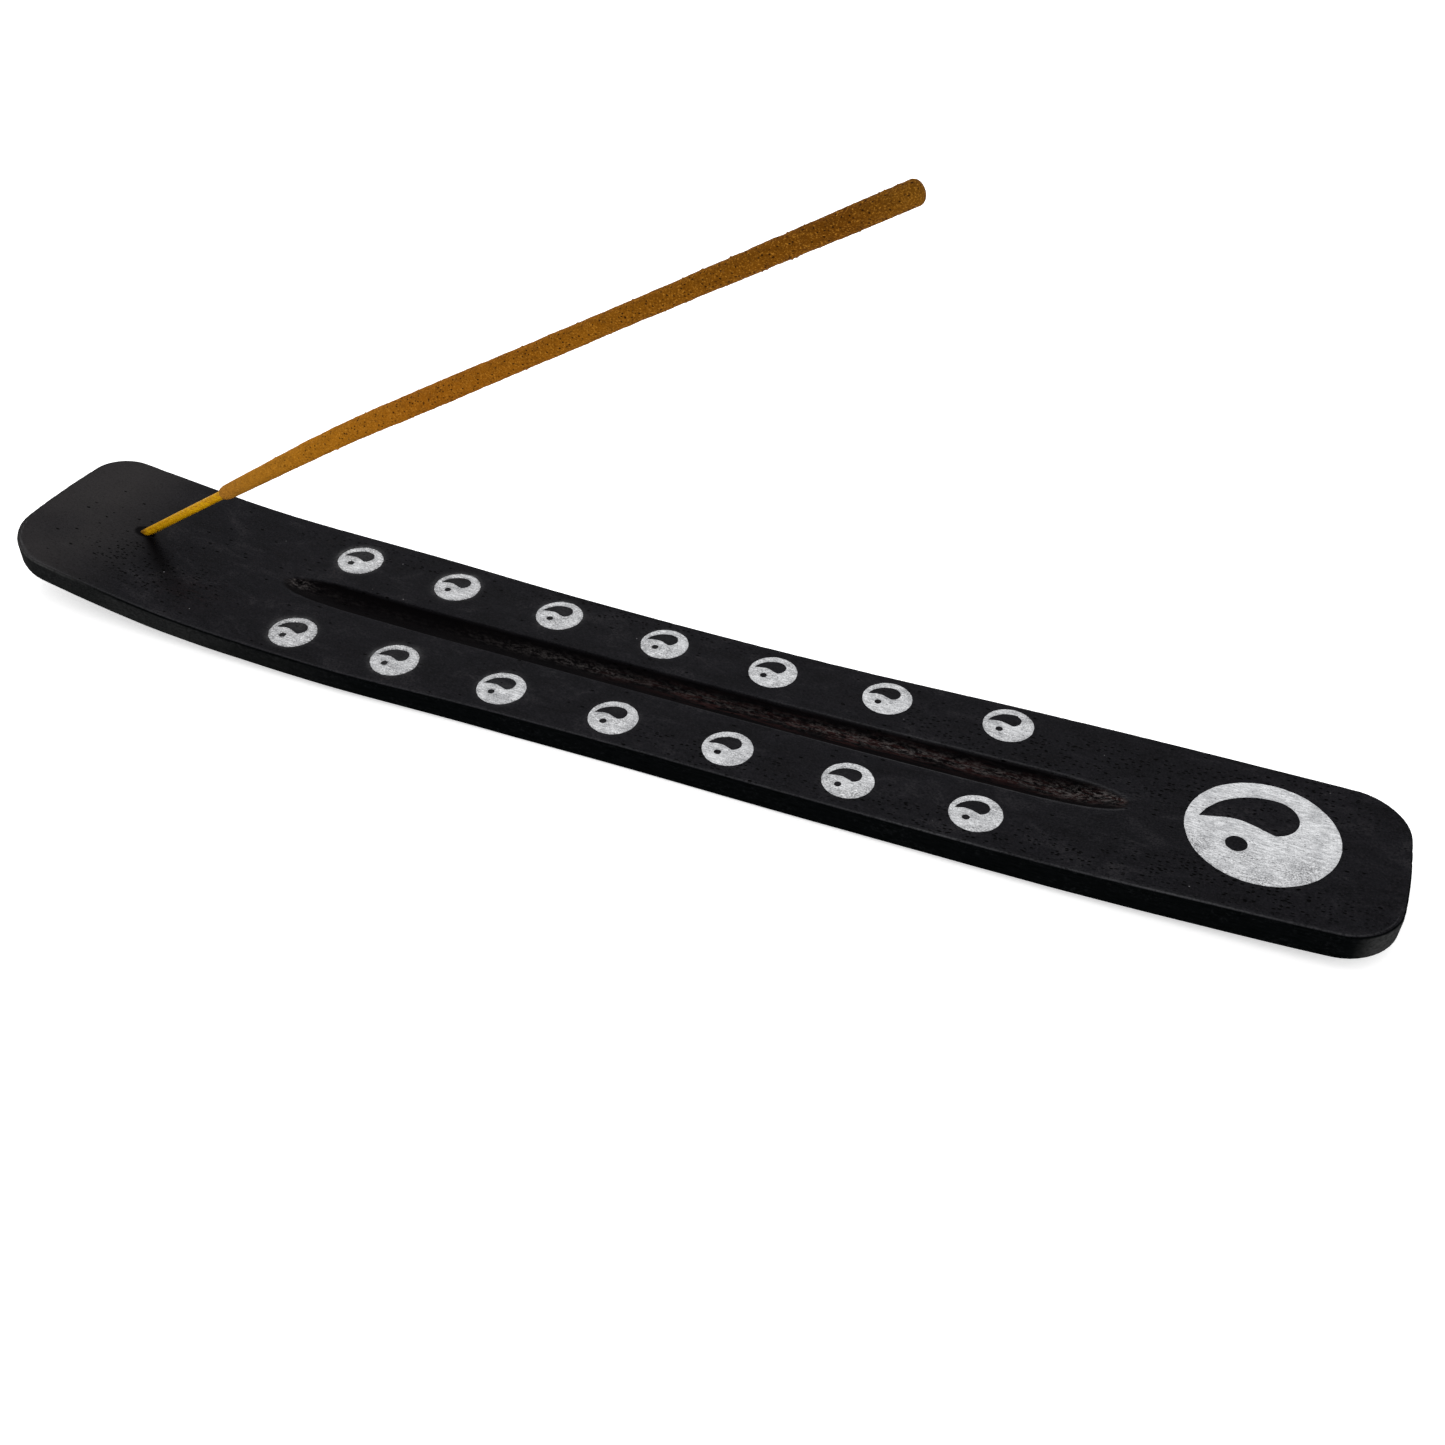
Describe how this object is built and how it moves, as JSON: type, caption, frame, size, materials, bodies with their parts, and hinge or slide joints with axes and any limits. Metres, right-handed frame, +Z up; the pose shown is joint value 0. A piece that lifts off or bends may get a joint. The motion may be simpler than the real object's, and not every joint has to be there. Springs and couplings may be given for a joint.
{
  "type": "incense stick holder",
  "caption": "Low bent wooden board with an ash groove, stencilled paint marks and a slanted blind hole that holds an incense stick over the groove.",
  "frame": {"origin": "middle of the board's length and width, on the surface that the board rests on", "axes": "+X along the board from the stick hole to the end with the large mark, +Z up"},
  "size_m": [0.254, 0.0393, 0.0991],
  "materials": {
    "stained_wood": "dark charcoal stain, matt, open pores, dusty",
    "silver_paint": "thin stencilled silver-white paint, satin, slightly worn",
    "bamboo": "dyed yellow bamboo splint, smooth with long fibres",
    "incense_paste": "ochre-brown rolled powder paste, matt and granular"
  },
  "bodies": {
    "board": {"wooden_board": "stained_wood", "painted_mark_front_1": "silver_paint", "painted_mark_front_2": "silver_paint", "painted_mark_front_3": "silver_paint", "painted_mark_front_4": "silver_paint", "painted_mark_front_5": "silver_paint", "painted_mark_front_6": "silver_paint", "painted_mark_front_7": "silver_paint", "painted_mark_back_1": "silver_paint", "painted_mark_back_2": "silver_paint", "painted_mark_back_3": "silver_paint", "painted_mark_back_4": "silver_paint", "painted_mark_back_5": "silver_paint", "painted_mark_back_6": "silver_paint", "painted_mark_back_7": "silver_paint", "painted_mark_large": "silver_paint"},
    "incense_stick": {"bamboo_core": "bamboo", "incense_coating": "incense_paste"}
  },
  "joints": [
    {"name": "stick_pull", "type": "slide", "parent": "board", "child": "incense_stick", "axis": [0.8339, 0, 0.5519], "range_m": [0, 0.025]}
  ]
}
